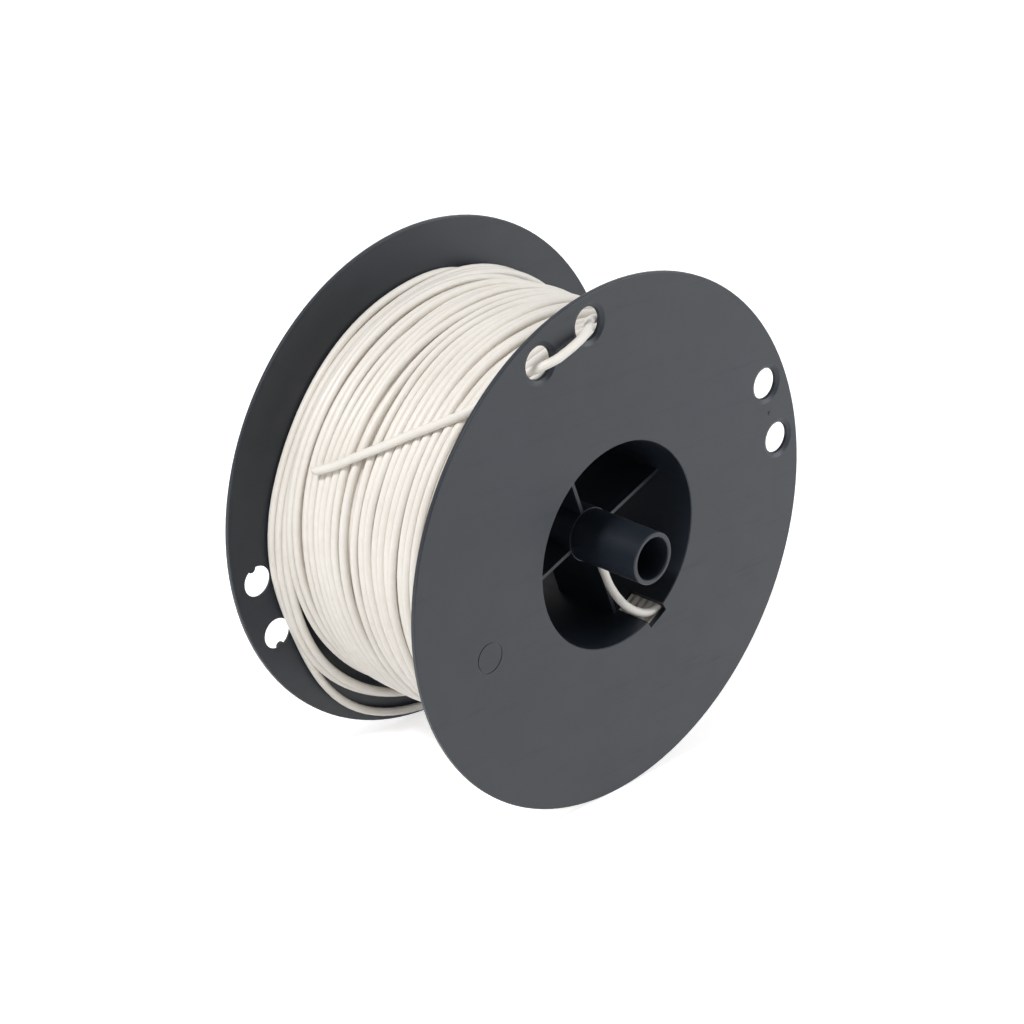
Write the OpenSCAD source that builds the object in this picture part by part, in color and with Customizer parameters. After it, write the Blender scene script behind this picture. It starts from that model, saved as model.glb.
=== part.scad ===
// Plastic wire spool, full of single-core flexible wire.
// The spool turns on the Y axis. Its front flange faces -Y, and +Z is up.
// The origin is on the axle, midway between the flanges.
// Angles round the axle are counted from +X towards +Z, as seen from the front.

/* [Flanges] */
// Outside diameter of both flanges
flange_d = 200; // [199:1:204]
// Distance between the outer faces of the flanges
flange_span = 99.2; // [98:0.1:102]
// Thickness of a flange at its rim
rim_t = 1.8; // [1.5:0.1:2]
// Thickness of a flange at the barrel
root_t = 2.2; // [2.1:0.1:2.4]

/* [Barrel and hub] */
// Inside diameter of the barrel
barrel_bore_d = 78; // [77:0.5:78]
// Outside diameter of the barrel
barrel_d = 82; // [82:0.5:82.5]
// Diameter of the axle bore
axle_d = 16; // [15:0.1:16.4]
// Outside diameter of the hub tube at its tips
hub_tip_d = 19.6; // [19:0.1:20]
// How far the hub tube stands out of a flange's face
hub_reach = 16.2; // [8:0.1:20]
// Depth of the ribs' outer edges below a flange's face
rib_depth = 14.8; // [14.8:0.1:16]
// Thickness of a rib at its outer edge
rib_t = 1.4; // [1.2:0.1:1.6]
// Direction of the first of the four ribs
rib_angle = 22; // [20:1:23]

/* [Tie holes and start slot] */
// Narrowest diameter of a tie hole
tie_throat_d = 11.8; // [11.6:0.1:12]
// Diameter of a tie hole's countersunk mouth
tie_mouth_d = 15.6; // [15.2:0.1:16]
// Distance between the two holes of a pair
tie_gap = 25.1; // [24.8:0.1:25.4]
// Width of the start slot
slot_w = 9.4; // [9.4:0.1:10]
// Direction of the start slot
slot_angle = 301.4; // [301:0.1:302]

/* [Wire] */
// Outside diameter of the wire's insulation
wire_d = 3.2; // [2.8:0.1:3.2]
// Radius of the outer layer, to the middle of the wire
layer_r = 80.4; // [80:0.1:81]
// Loops in the outer layer
loops = 24; // [22:1:24]

/* [Hidden] */
$fn = 96;

plastic_color = "#53575f";
wire_color = "#ece7df";
copper_color = "#b8734a";

half_span = flange_span / 2;
flange_r = flange_d / 2;
bore_r = barrel_bore_d / 2;
barrel_r = barrel_d / 2;
axle_r = axle_d / 2;
hub_tip_r = hub_tip_d / 2;
tip_h = half_span + hub_reach;
rib_h = half_span - rib_depth;

rim_round = 0.4;
root_fillet = 1.2;
edge_break = 0.35;
cut = 1;

// The halves are alike. The rear one is turned over about a line at turn_angle.
turn_angle = 154.2;
// Directions of a half's two pairs of tie holes, and the radius that they lie at
pair_angles = [109.2, 19.2];
pair_r = 89.2;
// How deep a tie hole's straight throat lies below the flange's face
throat_deep = 1.45;
// The rear half's first pair has a small nib at each hole's far side: radius, place and height
nib_r = 1.7;
nib_at = [1.2, 6];
nib_h = 1;

// Lap joint between the halves: two tongues on each, in the other's two recesses
tongue_from = [turn_angle - 90, turn_angle + 90];
tongue_span = 90;
lap_len = 6;
lap_r = (bore_r + barrel_r) / 2;
lap_gap = 0.06;
bead_h = 4;
bead_size = 0.3;
// The ribs stop clear of the other half's tongues
rib_foot_h = 7;
rib_draft = 0.2;

collar_step = 0.3;
hub_draft = 0.15;

slot_outer_r = bore_r + 3.5;
slot_depth = 16.4;

// Moulded marks: a pip between the holes of a pair and a plain insert ring
pip_r = 1.2;
pip_h = 0.3;
pip_inset = 2.4;
ring_angle = 198.6;
ring_at_r = 68.5;
ring_r = 6;
ring_w = 0.6;
ring_deep = 0.2;

// Winding
wire_r = wire_d / 2;
core_r = 78;
core_end_h = half_span - root_t - 0.2;
core_bore_r = barrel_r + 0.1;
core_chamfer = 1.6;
rings_per_loop = 24;
turn_sides = 6;
tail_sides = 8;
front_end_angle = 75;
end_h = half_span - root_t - wire_r - 0.2;
pitch = 2 * end_h / loops;
// Slack in the loops nearest the rear flange, the rearmost first
slack = [14, 6, 4.5];
slack_angle = -100;
slack_half = 75;
// A new loop is counted where the slack doesn't reach
count_angle = 83;
dive_turn = 0.25;
dive_depth = 4.2;

// Middle of the wire's outer end, from the tie holes to its cut end
outer_route = [
    [8.5, -45.5, 82.5], [1.2, -45.5, 84.6], [-4.5, -45.4, 85.9], [-8.2, -45.3, 86.6],
    [-10.8, -45.3, 86.9], [-13.2, -46, 86.9], [-15.5, -47.7, 86.7], [-17.9, -49.7, 86.2],
    [-20.7, -51.2, 85.5], [-24, -52.2, 84.5], [-26.6, -52.6, 83.7], [-29.3, -52.8, 82.8], [-32.4, -52.8, 81.7],
    [-35.4, -52.5, 80.5], [-38.1, -51.6, 79.5], [-39.9, -50.1, 78.4], [-41.3, -48.2, 77.2],
    [-42.7, -46, 75.8], [-44.9, -43.4, 74], [-48.3, -40.2, 71], [-52.7, -36.1, 66.7],
    [-57.4, -31.2, 61.5], [-61.9, -23.4, 56.7], [-66.5, -13.9, 51.3], [-70.8, -4.2, 45.5],
    [-74.2, 5.6, 39.9], [-77.2, 15.2, 34.3], [-79.6, 23.4, 30.6]
];
// Middle of the wire's inner end, from the first turn on the barrel to its cut end
inner_route = [
    [34, -45.2, -26.5], [30.9, -45.3, -30.1], [27.5, -45.3, -33.2], [23.7, -45.2, -34.8],
    [19.8, -44.9, -34.6], [16.3, -44.3, -33.2], [13.3, -43.4, -31.2], [11.1, -42, -29],
    [9.7, -40.5, -26.7], [8.6, -39.4, -24.4], [7.6, -38.4, -22], [6.9, -37.7, -19.8],
    [6.3, -37.2, -17.6], [5.7, -36.9, -15.9], [5.1, -36.8, -14.4], [4.6, -36.8, -12.8]
];

strand_r = 0.15;
strand_step = 0.31;
conductor_r = 0.8;
conductor_len = 6;

// ---------- wire: points, frames and tubes ----------

function unit(v) = v / norm(v);

// Smooth bump of height 1 about the angle mid, nothing past half to either side
function bump(a, mid, half) =
    let (off = ((a - mid + 180) % 360 + 360) % 360 - 180)
    abs(off) < half ? pow(cos(90 * off / half), 2) : 0;

function at_loop(list, i) = i >= 0 && i < len(list) ? list[i] : 0;

// Point i of the outer layer, which starts at the front flange and runs to the rear one
function turn_point(i) =
    let (
        turned = 360 * i / rings_per_loop,
        a = front_end_angle - turned,
        from_rear = loops - 1 - floor((turned + count_angle - front_end_angle) / 360),
        left = (loops * rings_per_loop - i) / rings_per_loop,
        dive = left < dive_turn ? dive_depth * pow(1 - left / dive_turn, 2) : 0,
        r = layer_r
            + at_loop(slack, from_rear) * bump(a, slack_angle, slack_half)
            - dive
    )
    [r * cos(a), -end_h + pitch * i / rings_per_loop, r * sin(a)];

turns = [for (i = [0 : loops * rings_per_loop]) turn_point(i)];

function tangent(route, i) =
    unit(route[min(i + 1, len(route) - 1)] - route[max(i - 1, 0)]);

// One ring of a tube, square to the route and turned the same way about up
function ring(route, i, up, r, sides) =
    let (
        t = tangent(route, i),
        side = unit(cross(t, up)),
        top = cross(side, t)
    )
    [for (k = [0 : sides - 1])
        route[i] + r * (cos(360 * k / sides) * top + sin(360 * k / sides) * side)];

function away_from_axle(p) = [p.x, 0, p.z];

// Tube along a route: one closed polyhedron of triangles
module tube(route, sides, radial) {
    last = len(route) - 1;
    rings = [for (i = [0 : last])
        ring(route, i, radial ? away_from_axle(route[i]) : [0, -1, 0], wire_r, sides)];
    points = [for (r = rings) each r];
    walls = [for (i = [0 : last - 1], k = [0 : sides - 1])
        let (a = i * sides + k, b = i * sides + (k + 1) % sides)
        each [[a, a + sides, b], [b, a + sides, b + sides]]];
    first_end = [for (k = [1 : sides - 2]) [0, k, k + 1]];
    far = last * sides;
    far_end = [for (k = [1 : sides - 2]) [far, far + k + 1, far + k]];
    polyhedron(points, concat(walls, first_end, far_end));
}

// Distance from point p to the stretch a-b
function to_stretch(p, a, b) =
    let (t = max(0, min(1, (p - a) * (b - a) / ((b - a) * (b - a)))))
    norm(p - a - t * (b - a));

least_gap = min([
    for (i = [0 : len(turns) - 1], loop = [1, 2], near = [-4 : 3])
        let (j = i + loop * rings_per_loop + near)
        if (j >= 0 && j + 1 < len(turns)) to_stretch(turns[i], turns[j], turns[j + 1]) - wire_d
]);
echo(least_gap_between_turns_mm = least_gap);
assert(least_gap > 0.4, "the outer layer's loops touch each other");

outer_path = concat([turns[0], turns[0] + 6 * unit(turns[0] - turns[1])], outer_route);

function length_of(route, i = 1) =
    i < len(route) ? norm(route[i] - route[i - 1]) + length_of(route, i + 1) : 0;
echo(outer_tail_mm = length_of(outer_path), inner_tail_mm = length_of(inner_route));

// Puts children, drawn along +Z, at a route's cut end with +Z pointing back into the wire
module at_cut_end(route) {
    tip = route[len(route) - 1];
    back = -tangent(route, len(route) - 1);
    translate(tip) rotate([0, acos(back.z), atan2(back.y, back.x)]) children();
}

// Insulation with the conductor's space open at the cut end
module tail(route, radial) {
    color(wire_color)
    difference() {
        tube(route, tail_sides, radial);
        at_cut_end(route) translate([0, 0, -cut]) cylinder(r = conductor_r, h = conductor_len + cut);
    }
}

// Nineteen copper strands: one in the middle, then rings of six and twelve
module conductor(route) {
    color(copper_color)
    at_cut_end(route)
    for (row = [-2 : 2], col = [-2 : 2])
        if (abs(row + col) <= 2)
            translate([strand_step * (col + row / 2), strand_step * row * sqrt(3) / 2, 0])
            cylinder(r = strand_r, h = conductor_len - 0.1, $fn = 16);
}

// ---------- spool half, drawn with the axle along +Z and the flange on top ----------

// Outline of the flange and barrel, as radius and height
module shell_outline() {
    in_root = half_span - root_t;
    in_rim = half_span - rim_t;
    fillet = [for (a = [0 : 22.5 : 90])
        [barrel_r + root_fillet * (1 - cos(a)), in_root - root_fillet * (1 - sin(a))]];
    rim_in = [for (a = [-90 : 30 : 0])
        [flange_r - rim_round + rim_round * cos(a), in_rim + rim_round * (1 + sin(a))]];
    rim_out = [for (a = [0 : 30 : 90])
        [flange_r - rim_round + rim_round * cos(a), half_span - rim_round * (1 - sin(a))]];
    polygon(concat(
        [[bore_r, 0], [barrel_r, 0]], fillet, rim_in, rim_out,
        [[bore_r + edge_break, half_span], [bore_r, half_span - edge_break]]
    ));
}

// Hub tube: tapered, with a small collar where the ribs meet it
module hub_tube() {
    rib_plane_r = hub_tip_r + hub_draft;
    rotate_extrude() polygon([
        [axle_r, 0], [rib_plane_r + collar_step + hub_draft, 0], [rib_plane_r + collar_step, rib_h],
        [rib_plane_r, rib_h], [hub_tip_r, tip_h - edge_break], [hub_tip_r - edge_break, tip_h],
        [axle_r + edge_break, tip_h], [axle_r, tip_h - edge_break]
    ]);
}

module rib() {
    start = axle_r + 1;
    foot_t = rib_t + 2 * rib_draft;
    translate([start, 0, 0]) rotate([90, 0, 90])
    linear_extrude(bore_r + 0.5 - start)
    polygon([[-rib_t / 2, rib_h], [rib_t / 2, rib_h], [foot_t / 2, rib_foot_h], [-foot_t / 2, rib_foot_h]]);
}

// Sector of a ring turned from a profile
module sector(from, span) {
    rotate([0, 0, from]) rotate_extrude(angle = span) children();
}

// Tongues of the lap joint, with a snap bead round the outside
module tongues() {
    outer = lap_r - lap_gap;
    for (from = tongue_from)
        sector(from + 0.3, tongue_span - 0.6) polygon([
            [bore_r, 0.5], [outer, 0.5], [outer, bead_size - bead_h],
            [outer + bead_size, -bead_h], [outer, -bead_h - bead_size],
            [outer, -lap_len + edge_break], [outer - edge_break, -lap_len], [bore_r, -lap_len]
        ]);
}

// Space for the other half's tongues, with the groove that its bead snaps into
module recesses() {
    inner = bore_r - cut;
    groove = lap_r + bead_size;
    for (from = tongue_from)
        sector(from + 90, tongue_span) polygon([
            [inner, -cut], [lap_r, -cut], [lap_r, bead_h - bead_size - lap_gap], [groove, bead_h],
            [lap_r, bead_h + bead_size + lap_gap], [lap_r, lap_len + lap_gap], [inner, lap_len + lap_gap]
        ]);
}

// Tie hole, countersunk from the outer face
module tie_hole() {
    throat = tie_throat_d / 2;
    mouth = tie_mouth_d / 2;
    rotate_extrude($fn = 48) polygon([
        [0, half_span - root_t - cut], [throat, half_span - root_t - cut],
        [throat, half_span - throat_deep], [throat + 0.35, half_span - throat_deep + 0.65],
        [mouth, half_span], [mouth, half_span + cut], [0, half_span + cut]
    ]);
}

// Puts children at the two holes of the pair at angle, turned so that +Y points away from its middle
module each_hole(angle) {
    for (side = [0, 1])
        rotate([0, 0, angle]) mirror([0, side, 0])
        rotate([0, 0, asin(tie_gap / 2 / pair_r)]) translate([pair_r, 0, 0]) children();
}

module nibs() {
    each_hole(pair_angles[0])
    translate([nib_at.x, nib_at.y, half_span - root_t + 0.4]) cylinder(r = nib_r, h = nib_h, $fn = 32);
}

module start_slot() {
    rotate([0, 0, slot_angle])
    translate([bore_r - 2, -slot_w / 2, half_span - slot_depth])
    cube([slot_outer_r - bore_r + 2, slot_w, slot_depth + cut]);
}

module insert_ring() {
    rotate([0, 0, ring_angle]) translate([ring_at_r, 0, 0])
    rotate_extrude($fn = 48)
    translate([ring_r - ring_w, half_span - ring_deep]) square([ring_w, ring_deep + cut]);
}

module half() {
    difference() {
        union() {
            rotate_extrude() shell_outline();
            hub_tube();
            for (i = [0 : 3]) rotate([0, 0, rib_angle + 90 * i]) rib();
            tongues();
            for (a = pair_angles)
                rotate([0, 0, a]) translate([pair_r - pip_inset, 0, half_span - 0.2])
                cylinder(r1 = pip_r, r2 = pip_r - 0.4, h = pip_h + 0.2);
        }
        recesses();
        for (a = pair_angles) each_hole(a) tie_hole();
        start_slot();
        insert_ring();
    }
}

// ---------- nodes ----------

module front_half() {
    color(plastic_color) rotate([90, 0, 0]) half();
}

module rear_half() {
    color(plastic_color)
    rotate(a = 180, v = [cos(turn_angle), 0, sin(turn_angle)]) rotate([90, 0, 0]) {
        half();
        nibs();
    }
}

// The inner layers of wire, as one closed ring on the barrel
module winding_core() {
    color(wire_color)
    rotate([90, 0, 0]) rotate_extrude() polygon([
        [core_bore_r, -core_end_h + core_chamfer], [core_bore_r + core_chamfer, -core_end_h],
        [core_r, -core_end_h], [core_r, core_end_h],
        [core_bore_r + core_chamfer, core_end_h], [core_bore_r, core_end_h - core_chamfer]
    ]);
}

module outer_turns() {
    color(wire_color) tube(turns, turn_sides, true);
}

module outer_tail() {
    tail(outer_path, true);
}

module inner_tail() {
    tail(inner_route, false);
}

module outer_conductor() {
    conductor(outer_path);
}

module inner_conductor() {
    conductor(inner_route);
}

front_half();
rear_half();
winding_core();
outer_turns();
outer_tail();
inner_tail();
outer_conductor();
inner_conductor();
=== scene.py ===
"""The looks of a plastic spool full of white single-core wire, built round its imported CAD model.

Everything is in metres and in the CAD's frame: the spool turns on Y, its front flange faces -Y,
and +Z is up. Angles round the axle are counted from +X towards +Z, as seen from the front.
"""

import math

import bpy
import numpy as np
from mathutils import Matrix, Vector


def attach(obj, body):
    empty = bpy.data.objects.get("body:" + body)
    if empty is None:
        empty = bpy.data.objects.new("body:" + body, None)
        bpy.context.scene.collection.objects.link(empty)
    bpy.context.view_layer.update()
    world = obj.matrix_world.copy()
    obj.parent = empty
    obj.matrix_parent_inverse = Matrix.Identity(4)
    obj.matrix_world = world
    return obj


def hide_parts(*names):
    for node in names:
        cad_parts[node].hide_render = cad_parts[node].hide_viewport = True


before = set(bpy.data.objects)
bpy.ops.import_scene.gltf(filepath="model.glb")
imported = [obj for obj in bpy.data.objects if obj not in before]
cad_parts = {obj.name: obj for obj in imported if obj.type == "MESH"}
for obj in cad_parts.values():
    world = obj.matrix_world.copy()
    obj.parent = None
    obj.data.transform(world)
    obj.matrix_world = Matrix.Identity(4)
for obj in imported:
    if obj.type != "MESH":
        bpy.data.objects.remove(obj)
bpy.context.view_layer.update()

MM = 0.001

# ---------- sizes shared with the CAD ----------

FLANGE_R = 100 * MM
WIRE_D = 3.2 * MM
WIRE_R = WIRE_D / 2
BARREL_R = 41 * MM
LAYER_R = 80.4 * MM
END_Y = 45.6 * MM  # middle of a turn that lies against a flange
OUTER_END_ANGLE = 75  # where the outer layer ends and the free end starts
CONDUCTOR_R = 0.8 * MM
CONDUCTOR_LEN = 6 * MM

# ---------- camera ----------

VIEW_AZIMUTH = math.radians(-44.94)
VIEW_ELEVATION = math.radians(23.06)
VIEW_DISTANCE = 0.9247
VIEW_LENS = 87.82
SENSOR_WIDTH = 36
CLIP_START = 0.01
# The point that the camera looks at, off the origin to the camera's right and up
AIM_RIGHT = -3.37 * MM
AIM_UP = -1.65 * MM


def place_camera():
    back = Vector((
        math.sin(VIEW_AZIMUTH) * math.cos(VIEW_ELEVATION),
        -math.cos(VIEW_AZIMUTH) * math.cos(VIEW_ELEVATION),
        math.sin(VIEW_ELEVATION),
    ))
    right = Vector((0, 0, 1)).cross(back).normalized()
    up = back.cross(right)
    aim = right * AIM_RIGHT + up * AIM_UP
    data = bpy.data.cameras.new("camera")
    data.lens = VIEW_LENS
    data.sensor_width = SENSOR_WIDTH
    data.clip_start = CLIP_START
    camera = bpy.data.objects.new("camera", data)
    bpy.context.scene.collection.objects.link(camera)
    camera.location = aim + back * VIEW_DISTANCE
    camera.rotation_euler = back.to_track_quat("Z", "Y").to_euler()
    bpy.context.scene.camera = camera


place_camera()

# ---------- mesh helpers ----------


def add_mesh(name, points, faces):
    """A mesh whose quads are smooth and whose caps are flat."""
    mesh = bpy.data.meshes.new(name)
    mesh.from_pydata([tuple(p) for p in points], [], [tuple(f) for f in faces])
    mesh.validate()
    mesh.update()
    mesh.polygons.foreach_set("use_smooth", [len(face.vertices) == 4 for face in mesh.polygons])
    piece = bpy.data.objects.new(name, mesh)
    bpy.context.scene.collection.objects.link(piece)
    return piece


def unit(v):
    return v / np.linalg.norm(v, axis=-1, keepdims=True)


def tangents(path):
    return unit(np.gradient(path, axis=0))


def smooth_path(points, step):
    """A centripetal Catmull-Rom curve through the points, with new points about step apart."""
    p = np.array(points, float)
    p = np.vstack([2 * p[0] - p[1], p, 2 * p[-1] - p[-2]])
    knots = np.concatenate([[0], np.cumsum(np.sqrt(np.linalg.norm(np.diff(p, axis=0), axis=1)))])
    fine = []
    for i in range(1, len(p) - 2):
        k0, k1, k2, k3 = knots[i - 1 : i + 3]
        n = max(2, math.ceil(np.linalg.norm(p[i + 1] - p[i]) / (step / 4)))
        t = np.linspace(k1, k2, n, endpoint=False)[:, None]
        a1 = (k1 - t) / (k1 - k0) * p[i - 1] + (t - k0) / (k1 - k0) * p[i]
        a2 = (k2 - t) / (k2 - k1) * p[i] + (t - k1) / (k2 - k1) * p[i + 1]
        a3 = (k3 - t) / (k3 - k2) * p[i + 1] + (t - k2) / (k3 - k2) * p[i + 2]
        b1 = (k2 - t) / (k2 - k0) * a1 + (t - k0) / (k2 - k0) * a2
        b2 = (k3 - t) / (k3 - k1) * a2 + (t - k1) / (k3 - k1) * a3
        fine.append((k2 - t) / (k2 - k1) * b1 + (t - k1) / (k2 - k1) * b2)
    fine = np.vstack([*fine, p[-2][None]])
    along = np.concatenate([[0], np.cumsum(np.linalg.norm(np.diff(fine, axis=0), axis=1))])
    at = np.linspace(0, along[-1], max(2, round(along[-1] / step)) + 1)
    return np.stack([np.interp(at, along, fine[:, k]) for k in range(3)], axis=1)


def carried_up(path, first):
    """A direction square to the path at each point, turned no more than the path itself turns."""
    t = tangents(path)
    up = [np.array(first, float)]
    for direction in t:
        nearly = up[-1] - up[-1].dot(direction) * direction
        up.append(nearly / np.linalg.norm(nearly))
    return np.array(up[1:])


def rings_along(path, up, wide, high, sides):
    """Rings of points round a path: wide and high are the half sizes across up and along it."""
    t = tangents(path)
    side = unit(np.cross(t, up))
    top = np.cross(side, t)
    turn = np.arange(sides) * 2 * math.pi / sides
    wide = np.broadcast_to(wide, len(path))[:, None, None]
    high = np.broadcast_to(high, len(path))[:, None, None]
    return (
        path[:, None]
        + high * np.cos(turn)[None, :, None] * top[:, None]
        + wide * np.sin(turn)[None, :, None] * side[:, None]
    )


def tube_faces(rings, sides):
    """Quads between rings of points, and the two end caps."""
    i, k = np.meshgrid(np.arange(rings - 1), np.arange(sides), indexing="ij")
    a, b = i * sides + k, i * sides + (k + 1) % sides
    faces = np.stack([a, a + sides, b + sides, b], axis=-1).reshape(-1, 4).tolist()
    last = (rings - 1) * sides
    faces.append(list(range(sides)))
    faces.append(list(range(last + sides - 1, last - 1, -1)))
    return faces


def on_cylinder(degrees, y, r):
    """Points at angles round the axle, y along it and r from it."""
    a = np.radians(degrees)
    y = np.broadcast_to(y, a.shape)
    return np.stack([r * np.cos(a), y, r * np.sin(a)], axis=-1)


def wound_tube(name, degrees, y, r, sides):
    """A wire wound round the axle through the given points."""
    rings = rings_along(on_cylinder(degrees, y, r), on_cylinder(degrees, 0, 1), WIRE_R, WIRE_R, sides)
    return add_mesh(name, rings.reshape(-1, 3), tube_faces(len(rings), sides))


# ---------- the wire's two free ends ----------

# Middle of the outer end, from the outer layer to its cut end, as in the CAD
OUTER_ROUTE_MM = [
    (8.5, -45.5, 82.5), (1.2, -45.5, 84.6), (-4.5, -45.4, 85.9), (-8.2, -45.3, 86.6),
    (-10.8, -45.3, 86.9), (-13.2, -46, 86.9), (-15.5, -47.7, 86.7), (-17.9, -49.7, 86.2),
    (-20.7, -51.2, 85.5), (-24, -52.2, 84.5), (-26.6, -52.6, 83.7), (-29.3, -52.8, 82.8),
    (-32.4, -52.8, 81.7), (-35.4, -52.5, 80.5), (-38.1, -51.6, 79.5), (-39.9, -50.1, 78.4),
    (-41.3, -48.2, 77.2), (-42.7, -46, 75.8), (-44.9, -43.4, 74), (-48.3, -40.2, 71),
    (-52.7, -36.1, 66.7), (-57.4, -31.2, 61.5), (-61.9, -23.4, 56.7), (-66.5, -13.9, 51.3),
    (-70.8, -4.2, 45.5), (-74.2, 5.6, 39.9), (-77.2, 15.2, 34.3), (-79.6, 23.4, 30.6),
]
# Middle of the inner end, from the first turn on the barrel to its cut end, as in the CAD
INNER_ROUTE_MM = [
    (34, -45.2, -26.5), (30.9, -45.3, -30.1), (27.5, -45.3, -33.2), (23.7, -45.2, -34.8),
    (19.8, -44.9, -34.6), (16.3, -44.3, -33.2), (13.3, -43.4, -31.2), (11.1, -42, -29),
    (9.7, -40.5, -26.7), (8.6, -39.4, -24.4), (7.6, -38.4, -22), (6.9, -37.7, -19.8),
    (6.3, -37.2, -17.6), (5.7, -36.9, -15.9), (5.1, -36.8, -14.4), (4.6, -36.8, -12.8),
]
TAIL_SIDES = 24
TAIL_STEP = 0.8 * MM
STRAIGHT_RUN = 6 * MM  # how far the outer end runs straight on from the outer layer
# The stretch that the cutters squeezed, and how much wider it got for how much thinner
SQUEEZED_LEN = 3 * MM
INSULATION_SPREAD = 0.6
HOLE_SPREAD = 0.5


def metres(route):
    return [np.array(p) * MM for p in route]


def outer_start():
    """The outer layer's end, and a point that runs straight on from it."""
    end = on_cylinder(np.array(OUTER_END_ANGLE), -END_Y, LAYER_R)
    onward = on_cylinder(np.array(OUTER_END_ANGLE + 90), 0, 1)
    return [end, end + STRAIGHT_RUN * onward]


def free_end(name, route, pinch):
    """The insulation of a free end: its cut end is squeezed by the cutters and holds the conductor."""
    path = smooth_path(route, TAIL_STEP)
    left = np.linalg.norm(np.diff(path, axis=0), axis=1)[::-1].cumsum()[::-1]
    left = np.append(left, 0)
    squeeze = pinch * np.clip(1 - left / SQUEEZED_LEN, 0, 1) ** 2
    up = carried_up(path, (0, -1, 0))
    wide, high = WIRE_R * (1 + INSULATION_SPREAD * squeeze), WIRE_R * (1 - squeeze)
    outside = rings_along(path, up, wide, high, TAIL_SIDES)
    deep = round(CONDUCTOR_LEN / TAIL_STEP)
    squeeze = squeeze[-deep:]
    wide, high = CONDUCTOR_R * (1 + HOLE_SPREAD * squeeze), CONDUCTOR_R * (1 - squeeze)
    hole = rings_along(path[-deep:], up[-deep:], wide, high, TAIL_SIDES)[::-1]
    points = np.concatenate([outside, hole]).reshape(-1, 3)
    piece = add_mesh(name, points, tube_faces(len(outside) + len(hole), TAIL_SIDES))
    return piece, path


outer_tail, outer_path = free_end("wire_outer_end", outer_start() + metres(OUTER_ROUTE_MM), pinch=0.22)
inner_tail, inner_path = free_end("wire_inner_end", metres(INNER_ROUTE_MM), pinch=0.12)
for tail_piece, node in ((outer_tail, "outer_tail"), (inner_tail, "inner_tail")):
    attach(tail_piece, "root")
    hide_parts(node)

# ---------- the winding ----------

STEPS = 120  # points along each turn
TURN_SIDES = 12
FLANGE_LIMIT = 45.7 * MM  # the middle of a wire gets no nearer to a flange
PRESSED_D = 3.05 * MM  # how near the middles of two turns get where they are pulled together
SIDEWAYS = 0.7 * MM  # how far a turn slides from where it is led
BED_R = 70.3 * MM  # middle of the plain layer that the wound ones lie on
BED_PITCH = 3.26 * MM
# The winding isn't quite round: it stands out most at the side that is seen best
OVAL = 2.6 * MM
SEEN_ANGLE = 150
# The two layers under the outermost one, the inner one first: their pitch, how far the hand that led
# the wire strayed, and where they end at the rear flange
LAYERS = [(3.45 * MM, 0.5 * MM, END_Y), (3.5 * MM, 1.1 * MM, 38.5 * MM)]
SEED = 7
# Where the outer layer's turns lie at some angles of the side that is seen, the rearmost first
LAY_MM = {
    100: [45.4, 41.9, 38.3, 34.8, 31.2, 27.3, 22.8, 18.2, 13.4, 10.4, 7.5, 3.6, -0.8,
          -3.7, -6.5, -9.3, -12.6, -17.4, -21.6, -25.2, -28.6, -32, -35.4, -38.8, -42.3],
    120: [45.4, 41.9, 38.3, 34.9, 31.6, 28.4, 25.2, 21, 16.4, 13.3, 10.4, 7.2, 2.2,
          -1.4, -4.5, -7.4, -10.6, -14.5, -18.4, -21.7, -25.1, -28.6, -32.5, -37, -42],
    150: [45.6, 42.3, 39, 36.2, 33.3, 29.4, 25.7, 22.8, 19.7, 15, 11.3, 7.6, 3.4,
          -0.5, -4, -7.4, -10.9, -14.9, -18.6, -21.9, -25.2, -29, -32.8, -37.2, -42.2],
    180: [45.6, 42.7, 39.7, 36.5, 32.9, 28.9, 25.9, 23, 20.1, 17.2, 13.8, 8.2, 1.6,
          -2.1, -5, -8.4, -11.3, -14.2, -17, -20, -23.4, -27.3, -31.6, -36.6, -42.2],
    200: [45.6, 42.6, 39.6, 36.4, 32, 27.6, 21.8, 18.3, 14.9, 11.5, 8.1, 4.6, -0.8,
          -5.6, -8.5, -11.4, -14.3, -17.3, -20.3, -23.4, -26.5, -29.8, -33.4, -37.6, -42.6],
    240: [45.4, 42.4, 39.4, 36, 30.5, 25.5, 20, 16, 12, 8.5, 5, 1.5, -3.5,
          -7.5, -10.8, -13.9, -17, -20, -23, -26, -29, -32.2, -35.4, -38.8, -42.6],
}
LAY_STRAY = 0.3 * MM  # how far the hand strayed from there
HEIGHT_STRAY = 0.5 * MM  # how much further out the turns that are pulled less tight lie
# Loose stretches of the outer layer's first turns: turn, how far its middle lies outside LAYER_R, and
# the middle, half the width and the fall of the stretch in degrees
LOOSE = [
    (0, 15.7 * MM, -97, 13, 58), (1, 6.3 * MM, -97, 40, 45), (2, 4.9 * MM, -97, 40, 45),
    (0, 1.9 * MM, -160, 10, 45), (1, 1.1 * MM, -160, 10, 45), (2, 0.5 * MM, -160, 10, 45),
    (0, 1.4 * MM, 63, 8, 45), (1, 1.2 * MM, 60, 8, 40), (2, 1 * MM, 58, 8, 40),
    (0, -1.2 * MM, 96, 18, 36),
]
LOOSE_SINK = 3 * MM  # how far inside LAYER_R a loose stretch fades out
# The hand's drift: how many turns lie between its random values, and their spread for a drift of 1
DRIFT_TURNS = 0.45
DRIFT_SPREAD = 0.6
OUT_TURNS = 0.45  # in so much of a turn, a layer is led from where it ends out to the rear flange
JOIN_STEPS = 30  # the points in which a turn runs into the one before, or the last one into the free end
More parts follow.
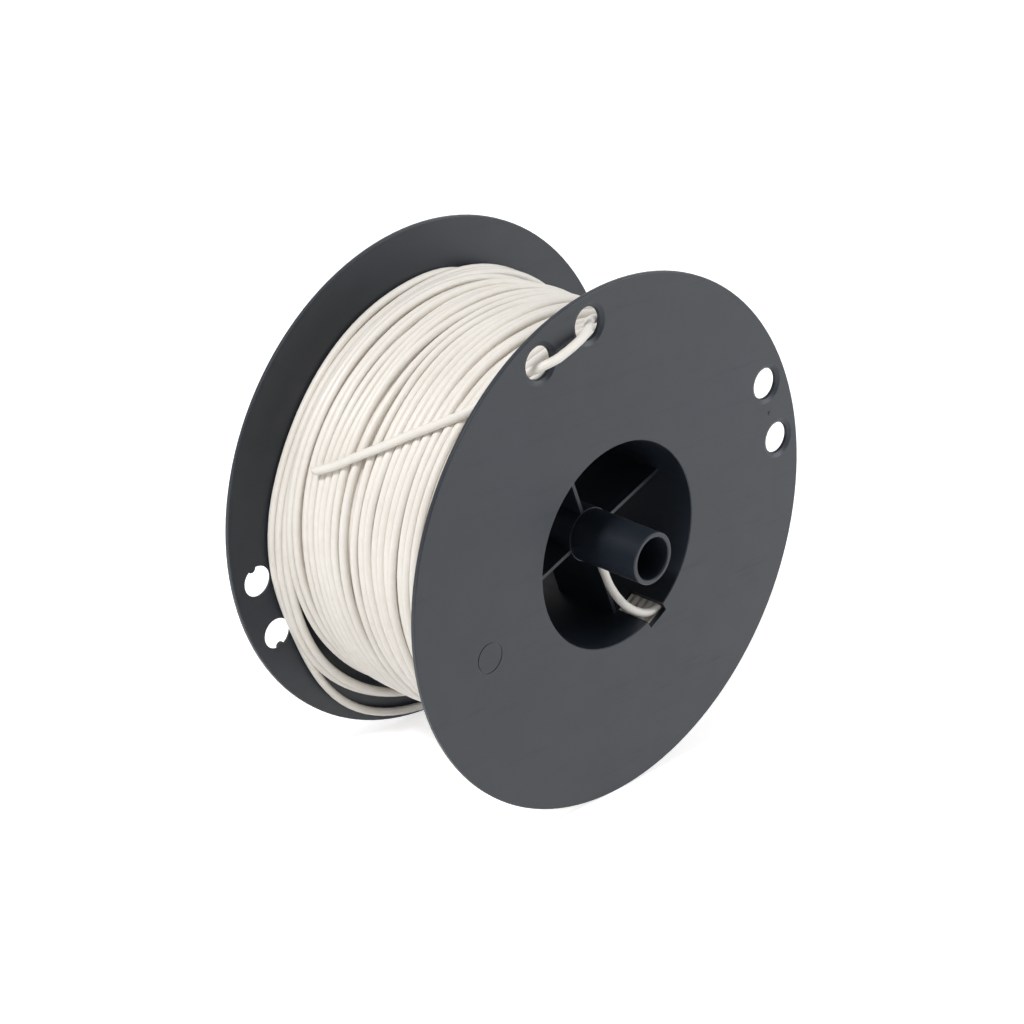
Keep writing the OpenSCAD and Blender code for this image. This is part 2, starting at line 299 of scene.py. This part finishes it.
# How a turn slides into the groove beside it: how far to each side it feels for a lower place, how
# far it slides for how steep the place is, and at most, in each round
FEEL = 0.05 * MM
SLIDE = 1.2
SLIDE_LIMIT = 0.12 * MM
SLIDE_ROUNDS = 14
TAUT_ROUNDS = 60
PRESS_ROUNDS = 8
ACROSS_Y = -44 * MM  # behind here the free end lies across the winding and presses on it


def swell(degrees, middle, flat, fall):
    """1 within flat degrees of middle, falling smoothly to 0 over fall degrees more."""
    off = np.abs((degrees - middle + 180) % 360 - 180)
    return np.cos(np.clip((off - flat) / fall, 0, 1) * math.pi / 2) ** 2


def eased(x):
    """From 0 to 1 as x does, flat at both ends."""
    x = np.clip(x, 0, 1)
    return x * x * (3 - 2 * x)


def softened(v, times):
    """v with each value drawn towards its neighbours, so many times over: v itself changes."""
    for _ in range(times):
        v[1:-1] = (v[:-2] + 2 * v[1:-1] + v[2:]) / 4
    return v


def resting_r(y, laid_y, laid_r):
    """How far from the axle a wire at y rests on the wires laid before, at each of a turn's points."""
    gap = np.abs(y[:, None] - laid_y)
    lift = np.where(gap < PRESSED_D, laid_r + np.sqrt(np.maximum(PRESSED_D**2 - gap**2, 0)), 0)
    return lift.max(axis=1)


def taut(rests_on):
    """A wire pulled tight over what it rests on: it runs straight from one high place to the next."""
    r = rests_on.copy()
    straight = 2 * math.cos(2 * math.pi / STEPS)
    for _ in range(TAUT_ROUNDS):
        between = straight / (1 / r[:-2] + 1 / r[2:])
        r[1:-1] = np.maximum(rests_on[1:-1], between)
    return r


def settle(guide, laid_y, laid_r):
    """A turn led along guide slides sideways into the grooves beside it."""
    y = guide.copy()
    for _ in range(SLIDE_ROUNDS):
        rise = resting_r(y + FEEL, laid_y, laid_r) - resting_r(y - FEEL, laid_y, laid_r)
        y -= np.clip(rise * SLIDE, -SLIDE_LIMIT, SLIDE_LIMIT)
        y = np.clip(y, guide - SIDEWAYS, guide + SIDEWAYS)
        y = softened(np.clip(y, -FLANGE_LIMIT, FLANGE_LIMIT), times=2)
    return y


def wander(chance, turns, size):
    """A slow random drift along a layer, as the hand that leads the wire strays: none at its ends."""
    knots = np.arange(0, turns + 2, DRIFT_TURNS)
    drift = chance.normal(0, size * DRIFT_SPREAD, len(knots))
    at = np.arange(turns * STEPS + 1) / STEPS
    fine = softened(np.interp(at, knots, drift), times=120)
    return fine * np.clip(np.minimum(at, at[::-1]), 0, 1)


def inner_guide(chance, pitch, stray, rear_end, to_front):
    """Where a layer under the outermost one is led."""
    turns = round((END_Y + rear_end) / pitch)
    steady = np.linspace(rear_end, -END_Y, turns * STEPS + 1)
    # out to the flange, on the side that isn't seen
    steady += (END_Y - rear_end) * eased(1 - np.arange(len(steady)) / (OUT_TURNS * STEPS))
    steady = steady if to_front else steady[::-1]
    return steady + wander(chance, turns, stray)


def outer_guide(chance):
    """Where the outermost layer is led, from the rear flange to the front one."""
    turns = len(LAY_MM[SEEN_ANGLE])
    degrees = OUTER_END_ANGLE - 360 * turns + 360 * np.arange(turns * STEPS + 1) / STEPS
    knots = [(degrees[0], END_Y), (degrees[-1], -END_Y)]
    for at, lay in LAY_MM.items():
        knots += [(at - 360 * (turns - turn), y * MM) for turn, y in enumerate(lay)]
    at, y = zip(*sorted(knots))
    return softened(np.interp(degrees, at, y), times=20) + wander(chance, turns, LAY_STRAY)


def all_guides():
    """Where the three outer layers are led, the innermost of them first."""
    chance = np.random.default_rng(SEED)
    guides = [
        inner_guide(chance, pitch, stray, rear_end, to_front)
        for (pitch, stray, rear_end), to_front in zip(LAYERS, (True, False))
    ]
    return [*guides, outer_guide(chance)]


def loosened(r, turn):
    """The outer layer's first turns hang slack below and lie loose beside the others."""
    degrees = OUTER_END_ANGLE + 360 * np.arange(len(r)) / STEPS
    for number, high, middle, flat, fall in LOOSE:
        if number == turn:
            share = swell(degrees, middle, flat, fall)
            r = np.maximum(r, LAYER_R + high * share - LOOSE_SINK * (1 - share))
    return r


def bed():
    """The plain layer under the wound ones: y and r of its turns at each of a turn's points."""
    y = np.arange(-END_Y, END_Y + BED_PITCH / 2, BED_PITCH)
    degrees = OUTER_END_ANGLE + 360 * np.arange(STEPS + 1) / STEPS
    r = BED_R + OVAL * swell(degrees, SEEN_ANGLE, flat=0, fall=90)
    return np.tile(y, (STEPS + 1, 1)), np.tile(r[:, None], (1, len(y)))


def lay_turn(guide, laid_y, laid_r, start):
    """One turn led along guide over what is laid: its y and r, from start, where the last one ended."""
    y = settle(guide, laid_y, laid_r)
    if start:
        y += (start[0] - y[0]) * (1 - eased(np.arange(len(y)) / JOIN_STEPS))
    rests_on = resting_r(y, laid_y, laid_r)
    if start:
        rests_on[0] = start[1]
    return y, softened(taut(rests_on), times=3)


def wind():
    """The three outer layers as one wire, from inside to outside: angle, y and r at each point."""
    laid_y, laid_r = bed()
    all_y, all_r, start = [], [], None
    guides = all_guides()
    for guide in guides:
        for turn in range(len(guide) // STEPS):
            led = guide[turn * STEPS : (turn + 1) * STEPS + 1]
            y, r = lay_turn(led, laid_y, laid_r, start)
            if guide is guides[-1]:
                r = loosened(r, turn)
            all_y.append(y)
            all_r.append(r)
            start = (y[-1], r[-1])
            laid_y = np.hstack([laid_y, y[:, None]])
            laid_r = np.hstack([laid_r, r[:, None]])
    y = np.concatenate([v[:-1] for v in all_y] + [all_y[-1][-1:]])
    r = np.concatenate([v[:-1] for v in all_r] + [all_r[-1][-1:]])
    degrees = OUTER_END_ANGLE + 360 * (np.arange(len(y)) - len(y) + 1) / STEPS
    return degrees, y, r


def held_down(degrees, y, r):
    """The free end lies across the winding and holds down the turns under it."""
    across = outer_path[outer_path[:, 1] > ACROSS_Y]
    for _ in range(PRESS_ROUNDS):
        away = on_cylinder(degrees, y, r)[:, None] - across
        gap = np.linalg.norm(away, axis=2).min(axis=1)
        r = softened(r - np.clip(WIRE_D - gap, 0, None), times=2)
    return r


def outer_layers():
    """The three outer layers as one unbroken tube, which ends where the outer free end starts."""
    degrees, y, r = wind()
    # the turns are pulled more and less tight
    slack = wander(np.random.default_rng(SEED + 1), (len(y) - 1) // STEPS, HEIGHT_STRAY)
    r += np.abs(slack)
    # the last stretch runs into the outer free end
    share = eased(1 - np.arange(len(y))[::-1] / JOIN_STEPS)
    y = softened(y + (-END_Y - y) * share, times=4)
    r = held_down(degrees, y, softened(r + (LAYER_R - r) * share, times=3))
    return wound_tube("winding_outer_layers", degrees, y, r, TURN_SIDES)


# The layer on the barrel, whose first turn the inner free end comes from
FIRST_R = BARREL_R + WIRE_R + 0.2 * MM
FIRST_ANGLE = -37.9
FIRST_FRONT_Y = -45.2 * MM
FIRST_REAR_Y = 45.4 * MM
FIRST_TURNS = 28
FIRST_STEPS = 48
FIRST_SIDES = 8

# The ring between the first layer and the outer ones: how far outside the middles of the layers at its
# inside and outside its faces lie, and how far it reaches past the middles of the turns at the flanges
RING_OUT = 1.2 * MM
RING_PAST = 0.9 * MM
RING_SIDES = 96
RIPPLE = 0.5 * MM
RIPPLE_POINTS = 6


def first_layer():
    along = np.arange(FIRST_TURNS * FIRST_STEPS + 1) / FIRST_STEPS
    degrees = FIRST_ANGLE + 360 * along
    y = np.linspace(FIRST_FRONT_Y, FIRST_REAR_Y, len(along))
    return wound_tube("winding_first_layer", degrees, y, np.full_like(y, FIRST_R), FIRST_SIDES)


def hidden_layers():
    """The layers between the first and the outer ones, as one ring with the turns' ripple all round."""
    low, high = FIRST_R + RING_OUT, BED_R + RING_OUT
    half = END_Y + RING_PAST
    ripples = round(2 * END_Y / BED_PITCH)
    y = np.linspace(-half, half, ripples * RIPPLE_POINTS + 1)
    wave = np.abs(np.cos(np.linspace(0, math.pi * ripples, len(y)))) * RIPPLE
    outline_y = np.concatenate([y, y[::-1]])
    outline_r = np.concatenate([high + wave, (low - wave)[::-1]])
    around = np.linspace(0, 360, RING_SIDES, endpoint=False)
    points = on_cylinder(around[:, None] + 0 * outline_y, outline_y, outline_r)
    rings, n = points.shape[:2]
    i, k = np.meshgrid(np.arange(rings), np.arange(n), indexing="ij")
    ahead, beside = (i + 1) % rings, (k + 1) % n
    faces = np.stack([i * n + k, i * n + beside, ahead * n + beside, ahead * n + k], axis=-1)
    return add_mesh("winding_hidden_layers", points.reshape(-1, 3), faces.reshape(-1, 4).tolist())


winding, first, hidden = outer_layers(), first_layer(), hidden_layers()
for piece in (winding, first, hidden):
    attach(piece, "root")
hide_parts("outer_turns")
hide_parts("winding_core")

# ---------- materials ----------

BLACK = (0, 0, 0)
WHITE = (1, 1, 1)
# Sockets of a Mix node that mixes colours
MIX_FACTOR, MIX_ONE, MIX_OTHER = 0, 6, 7
MIX_RESULT = 2


def set_range(node, low, high, from_low, from_high):
    """A Map Range node turns from_low to from_high into low to high."""
    numbers = {"From Min": from_low, "From Max": from_high, "To Min": low, "To Max": high}
    for key, number in numbers.items():
        node.inputs[key].default_value = number


class Nodes:
    """A material's node tree, with short calls to add and join nodes."""

    def __init__(self, name):
        self.material = bpy.data.materials.new(name)
        self.material.use_nodes = True
        self.tree = self.material.node_tree
        self.shader = self.tree.nodes["Principled BSDF"]
        coordinates = self.add("ShaderNodeTexCoord")
        self.place = coordinates.outputs["Object"]

    def add(self, kind, **settings):
        node = self.tree.nodes.new(kind)
        for key, value in settings.items():
            setattr(node, key, value)
        return node

    def link(self, output, socket):
        self.tree.links.new(output, socket)

    def noise(self, scale, detail, roughness, place=None):
        node = self.add("ShaderNodeTexNoise")
        node.inputs["Scale"].default_value = scale
        node.inputs["Detail"].default_value = detail
        node.inputs["Roughness"].default_value = roughness
        self.link(place or self.place, node.inputs["Vector"])
        return node.outputs["Fac"]

    def stretched(self, scale):
        """Places scaled by a different number along each axis."""
        node = self.add("ShaderNodeMapping")
        node.inputs["Scale"].default_value = scale
        self.link(self.place, node.inputs["Vector"])
        return node.outputs["Vector"]

    def ramp(self, value, stops):
        """Colours by value: each stop is a value and its colour."""
        node = self.add("ShaderNodeValToRGB")
        elements = node.color_ramp.elements
        while len(elements) < len(stops):
            elements.new(0.5)
        for element, (position, color) in zip(elements, stops):
            element.position = position
            element.color = (*color, 1)
        self.link(value, node.inputs["Fac"])
        return node.outputs["Color"]

    def mask(self, value, low, high):
        """Black below low and white above high."""
        return self.ramp(value, [(low, BLACK), (high, WHITE)])

    def mix(self, amount, one, other):
        """From one to other as amount goes from 0 to 1: each is a colour or another node's output."""
        node = self.add("ShaderNodeMix", data_type="RGBA")
        for value, number in ((amount, MIX_FACTOR), (one, MIX_ONE), (other, MIX_OTHER)):
            socket = node.inputs[number]
            if isinstance(value, tuple):
                socket.default_value = (*value, 1)
            else:
                self.link(value, socket)
        return node.outputs[MIX_RESULT]

    def remap(self, value, low, high, from_low=0.0, from_high=1.0):
        """From low to high as value goes from from_low to from_high."""
        node = self.add("ShaderNodeMapRange")
        self.link(value, node.inputs["Value"])
        set_range(node, low, high, from_low, from_high)
        return node.outputs["Result"]

    def bump(self, height, distance, strength, before=None):
        """The surface's direction with height as its relief, on top of the relief before."""
        node = self.add("ShaderNodeBump")
        node.inputs["Distance"].default_value = distance
        node.inputs["Strength"].default_value = strength
        self.link(height, node.inputs["Height"])
        if before is not None:
            self.link(before, node.inputs["Normal"])
        return node.outputs["Normal"]

    def edges(self, radius):
        """1 on sharp edges and 0 away from them."""
        rounded = self.add("ShaderNodeBevel", samples=6)
        rounded.inputs["Radius"].default_value = radius
        flat = self.add("ShaderNodeNewGeometry")
        agree = self.add("ShaderNodeVectorMath", operation="DOT_PRODUCT")
        self.link(rounded.outputs["Normal"], agree.inputs[0])
        self.link(flat.outputs["Normal"], agree.inputs[1])
        return self.remap(agree.outputs["Value"], 1, 0, from_low=0.85, from_high=0.985)

    def set(self, **values):
        """The shader's inputs: each value is a number, a colour or another node's output."""
        names = {
            "color": "Base Color", "roughness": "Roughness", "metallic": "Metallic", "normal": "Normal",
            "specular": "Specular IOR Level",
        }
        for key, value in values.items():
            socket = self.shader.inputs[names[key]]
            if isinstance(value, (int, float)):
                socket.default_value = value
            elif isinstance(value, tuple):
                socket.default_value = (*value, 1)
            else:
                self.link(value, socket)


def spool_plastic():
    """Dark blue-grey moulded plastic: satin, a little mottled and scuffed, with a painted highlight that
    makes it paler along its edges.
    """
    dark, light = (0.009, 0.013, 0.020), (0.013, 0.018, 0.027)
    # the second colour of this pair is a painted highlight for the edges
    speck, edge_highlight = (0.09, 0.095, 0.105), (0.075, 0.08, 0.09)
    scuffed_roughness = (0.6, 0.6, 0.6)
    m = Nodes("spool_plastic")
    clouds = m.ramp(m.noise(14, detail=4, roughness=0.6), [(0.3, dark), (0.7, light)])
    specks = m.mask(m.noise(1100, detail=2, roughness=0.7), 0.72, 0.78)
    color = m.mix(m.remap(specks, 0, 0.3), clouds, speck)
    # painted highlight: the colour turns paler along sharp edges, where rounded edges would catch the
    # light
    color = m.mix(m.remap(m.edges(0.5 * MM), 0, 0.45), color, edge_highlight)
    satin = m.remap(m.noise(60, detail=4, roughness=0.6), 0.38, 0.46, from_low=0.3, from_high=0.7)
    scuffs = m.mask(m.noise(1, detail=5, roughness=0.65, place=m.stretched((30, 30, 420))), 0.56, 0.7)
    rough = m.mix(m.remap(scuffs, 0, 0.5), satin, scuffed_roughness)
    grain = m.bump(m.noise(2600, detail=3, roughness=0.6), 0.04 * MM, strength=0.35)
    waves = m.bump(m.noise(22, detail=2, roughness=0.5), 0.6 * MM, strength=0.25, before=grain)
    m.set(color=color, roughness=rough, normal=waves, specular=0.5)
    return m.material


def wire_insulation():
    """Warm white soft plastic, drawn smooth, a little uneven and lightly handled."""
    dark, light = (0.83, 0.785, 0.72), (0.88, 0.845, 0.79)
    dusty = (0.68, 0.62, 0.55)
    m = Nodes("wire_insulation")
    base = m.ramp(m.noise(26, detail=3, roughness=0.6), [(0.3, dark), (0.7, light)])
    dust = m.mask(m.noise(240, detail=4, roughness=0.7), 0.45, 0.75)
    color = m.mix(m.remap(dust, 0, 0.2), base, dusty)
    rough = m.remap(m.noise(120, detail=3, roughness=0.6), 0.38, 0.5, from_low=0.3, from_high=0.7)
    drawn = m.bump(m.noise(420, detail=3, roughness=0.6), 0.12 * MM, strength=0.35)
    m.set(color=color, roughness=rough, normal=drawn, specular=0.45)
    return m.material


def copper():
    """Bright bare strands, a little tarnished."""
    dark, light = (0.62, 0.27, 0.14), (0.80, 0.42, 0.24)
    m = Nodes("copper")
    color = m.ramp(m.noise(1800, detail=3, roughness=0.5), [(0.3, dark), (0.7, light)])
    rough = m.remap(m.noise(3000, detail=2, roughness=0.5), 0.25, 0.42, from_low=0.3, from_high=0.7)
    m.set(color=color, roughness=rough, metallic=1.0)
    return m.material


def paint(piece, material):
    piece.data.materials.clear()
    piece.data.materials.append(material)


plastic, insulation, strands = spool_plastic(), wire_insulation(), copper()
for node in ("front_half", "rear_half"):
    paint(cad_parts[node], plastic)
for node in ("outer_conductor", "inner_conductor"):
    paint(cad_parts[node], strands)
for piece in (outer_tail, inner_tail, winding, first, hidden):
    paint(piece, insulation)

# ---------- floor, light and background ----------

FLOOR_R = 9.0
FLOOR_SIDES = 64
FLOOR_GLOW = 0.62  # added to the floor's own look, so that it is white
WORLD_LIGHT = 0.37  # how bright the white background is where it only lights the object
# The room that the plastic mirrors is darker towards the photographer: it starts to get darker and is
# darkest where the cosine of the angle from there is DARK_FROM and DARK_FULL
DARK_TOWARDS = (-0.650, -0.651, 0.392)
DARK_FROM = 0.15
DARK_FULL = 0.8
DARKEST = 0.08
SEEN_RAYS = ("Is Camera Ray", "Is Glossy Ray", "Is Transmission Ray")


def add_floor():
    """A white floor, which glows only where it is seen, straight or mirrored."""
    around = np.linspace(0, 360, FLOOR_SIDES, endpoint=False)
    points = [(FLOOR_R * math.cos(a), FLOOR_R * math.sin(a), -FLANGE_R) for a in np.radians(around)]
    floor = add_mesh("floor", points, [range(len(points))])
    m = Nodes("floor")
    m.set(color=(0.93, 0.93, 0.93), roughness=0.9, specular=0.1)
    rays = m.add("ShaderNodeLightPath")
    seen = rays.outputs[SEEN_RAYS[0]]
    for kind in SEEN_RAYS[1:]:
        either = m.add("ShaderNodeMath", operation="MAXIMUM")
        m.link(seen, either.inputs[0])
        m.link(rays.outputs[kind], either.inputs[1])
        seen = either.outputs["Value"]
    glow = m.add("ShaderNodeEmission")
    m.link(m.remap(seen, 0, FLOOR_GLOW), glow.inputs["Strength"])
    both = m.add("ShaderNodeAddShader")
    m.link(m.shader.outputs["BSDF"], both.inputs[0])
    m.link(glow.outputs["Emission"], both.inputs[1])
    m.link(both.outputs["Shader"], m.tree.nodes["Material Output"].inputs["Surface"])
    paint(floor, m.material)


def add_area_light(name, place, size, power, color=WHITE):
    """A round light that shines on the origin."""
    data = bpy.data.lights.new(name, "AREA")
    data.shape = "DISK"
    data.size = size
    data.energy = power
    data.color = color
    light = bpy.data.objects.new(name, data)
    bpy.context.scene.collection.objects.link(light)
    light.location = place
    light.rotation_euler = Vector(place).to_track_quat("Z", "Y").to_euler()


def mirrored_room(tree):
    """How bright the white room is where it is mirrored: darker towards the photographer."""
    add, link = tree.nodes.new, tree.links.new
    towards = add("ShaderNodeVectorMath")
    towards.operation = "DOT_PRODUCT"
    link(add("ShaderNodeTexCoord").outputs["Generated"], towards.inputs[0])
    towards.inputs[1].default_value = DARK_TOWARDS
    room = add("ShaderNodeMapRange")
    room.interpolation_type = "SMOOTHSTEP"
    link(towards.outputs["Value"], room.inputs["Value"])
    set_range(room, 1, DARKEST, from_low=DARK_FROM, from_high=DARK_FULL)
    return room.outputs["Result"]


def set_world():
    """A white room, seen as it is, dimmer where it lights the object, and as mirrored_room in mirrors."""
    world = bpy.data.worlds.new("world")
    bpy.context.scene.world = world
    world.use_nodes = True
    tree = world.node_tree
    add, link = tree.nodes.new, tree.links.new
    background = tree.nodes["Background"]
    background.inputs["Color"].default_value = (*WHITE, 1)

    mirrored = mirrored_room(tree)
    rays = add("ShaderNodeLightPath")
    choices = []
    for kind in SEEN_RAYS:
        choice = add("ShaderNodeMix")
        link(rays.outputs[kind], choice.inputs["Factor"])
        choice.inputs["B"].default_value = 1
        choices.append(choice)
    direct, glossy, through = choices
    glossy.inputs["A"].default_value = WORLD_LIGHT
    link(mirrored, glossy.inputs["B"])
    link(glossy.outputs["Result"], through.inputs["A"])
    link(through.outputs["Result"], direct.inputs["A"])
    link(direct.outputs["Result"], background.inputs["Strength"])


add_floor()
add_area_light("key", place=(-1.15, -0.1, 1.3), size=0.35, power=19.5)
add_area_light("fill", place=(1.3, -1.5, 0.5), size=1.0, power=15, color=(0.93, 0.97, 1))
set_world()
bpy.context.scene.view_settings.view_transform = "Standard"
